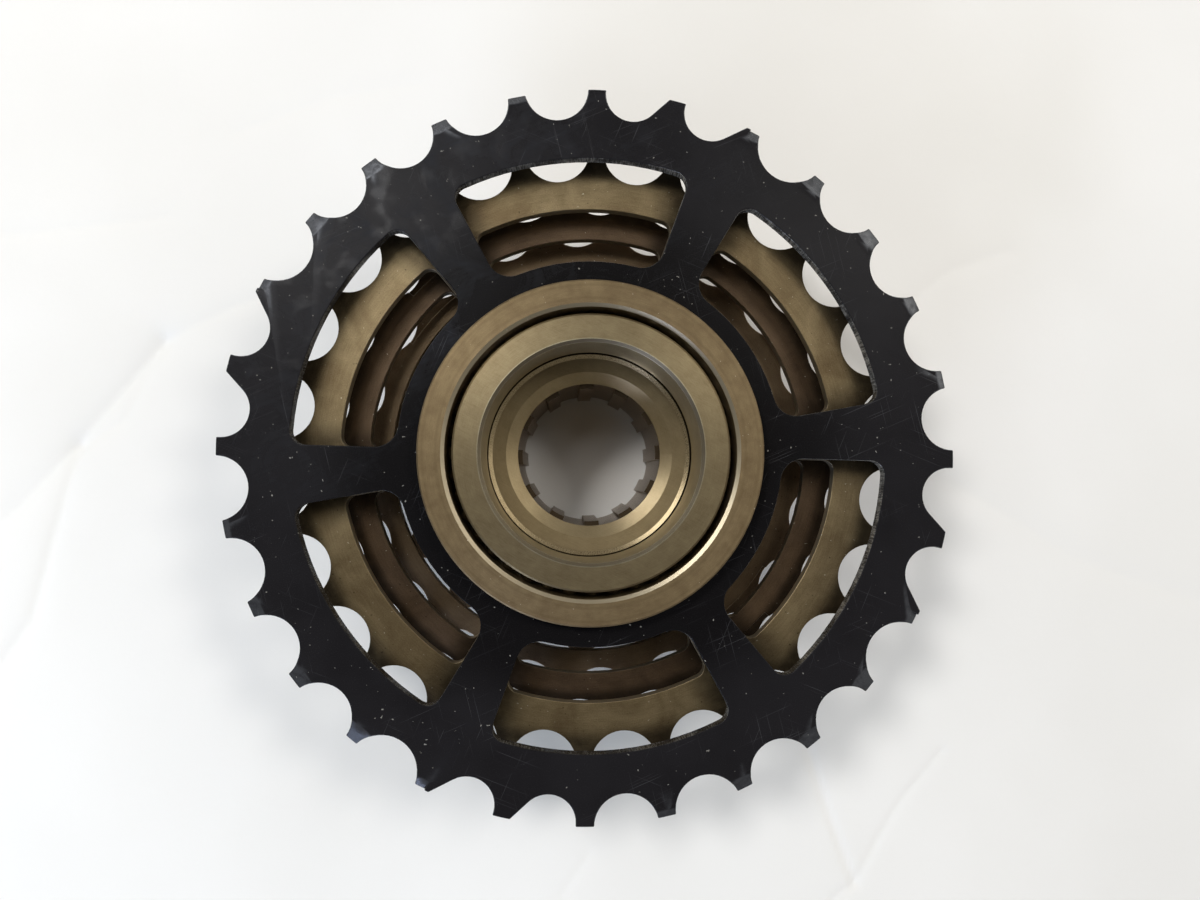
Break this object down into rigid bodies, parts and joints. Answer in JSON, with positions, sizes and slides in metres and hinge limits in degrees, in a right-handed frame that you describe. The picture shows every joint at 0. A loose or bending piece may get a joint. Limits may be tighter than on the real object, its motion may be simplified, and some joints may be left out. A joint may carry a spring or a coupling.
{
  "type": "multi-speed freewheel",
  "caption": "Screw-on multi-speed bicycle freewheel: a stack of stepped chain sprockets on a ratcheting carrier around a threaded, splined core.",
  "frame": {"origin": "on the wheel axis, at the outboard end of the core, which the freewheel stands on", "axes": "+Z along the wheel axis towards the inboard side (the hub); X and Y in the plane of the sprockets"},
  "size_m": [0.1148, 0.1148, 0.0374],
  "materials": {
    "bronzed_steel": "olive-bronze surface finish on machined steel, satin",
    "black_coat": "thin black coat on stamped steel, semi-gloss, scratched",
    "bare_steel": "oiled bare steel",
    "ball_steel": "polished bearing balls"
  },
  "bodies": {
    "core": {"inner_body": "bronzed_steel", "cone_lockring": "bronzed_steel", "adjusting_shims": "bare_steel", "pawl_spring_a": "bare_steel", "pawl_spring_b": "bare_steel"},
    "carrier": {"outer_shell": "bronzed_steel", "sprocket_28t": "black_coat", "sprocket_24t": "bronzed_steel", "sprocket_22t": "bronzed_steel", "sprocket_20t": "bronzed_steel", "sprocket_18t": "bronzed_steel", "sprocket_16t": "bronzed_steel", "sprocket_14t": "bronzed_steel", "spacer_28_24": "bronzed_steel", "spacer_24_22": "bronzed_steel", "spacer_22_20": "bronzed_steel", "spacer_20_18": "bronzed_steel"},
    "inboard_balls": {"balls_inboard": "ball_steel"},
    "outboard_balls": {"balls_outboard": "ball_steel"},
    "pawl_one": {"pawl_a": "bare_steel"},
    "pawl_two": {"pawl_b": "bare_steel"}
  },
  "joints": [
    {"name": "freewheel_spin", "type": "hinge", "parent": "core", "child": "carrier", "pos_m": [0, 0, 0.0187], "axis": [0, 0, 1], "continuous": true},
    {"name": "inboard_ball_roll", "type": "hinge", "parent": "core", "child": "inboard_balls", "pos_m": [0, 0, 0.0324], "axis": [0, 0, 1], "continuous": true},
    {"name": "outboard_ball_roll", "type": "hinge", "parent": "core", "child": "outboard_balls", "pos_m": [0, 0, 0.0064], "axis": [0, 0, 1], "continuous": true},
    {"name": "pawl_a_swing", "type": "hinge", "parent": "core", "child": "pawl_one", "pos_m": [0, 0.0179, 0.02], "axis": [0, 0, 1], "range_deg": [0, 10], "stiffness_Nm_per_rad": 0.004, "springref_deg": 20.05, "deforming": ["pawl_spring_a"]},
    {"name": "pawl_b_swing", "type": "hinge", "parent": "core", "child": "pawl_two", "pos_m": [0, -0.0179, 0.02], "axis": [0, 0, 1], "range_deg": [0, 10], "stiffness_Nm_per_rad": 0.004, "springref_deg": 20.05, "deforming": ["pawl_spring_b"]}
  ],
  "couplings": [
    {"joint": "inboard_ball_roll", "follows": "freewheel_spin", "ratio": 0.5268},
    {"joint": "outboard_ball_roll", "follows": "freewheel_spin", "ratio": 0.5313}
  ]
}
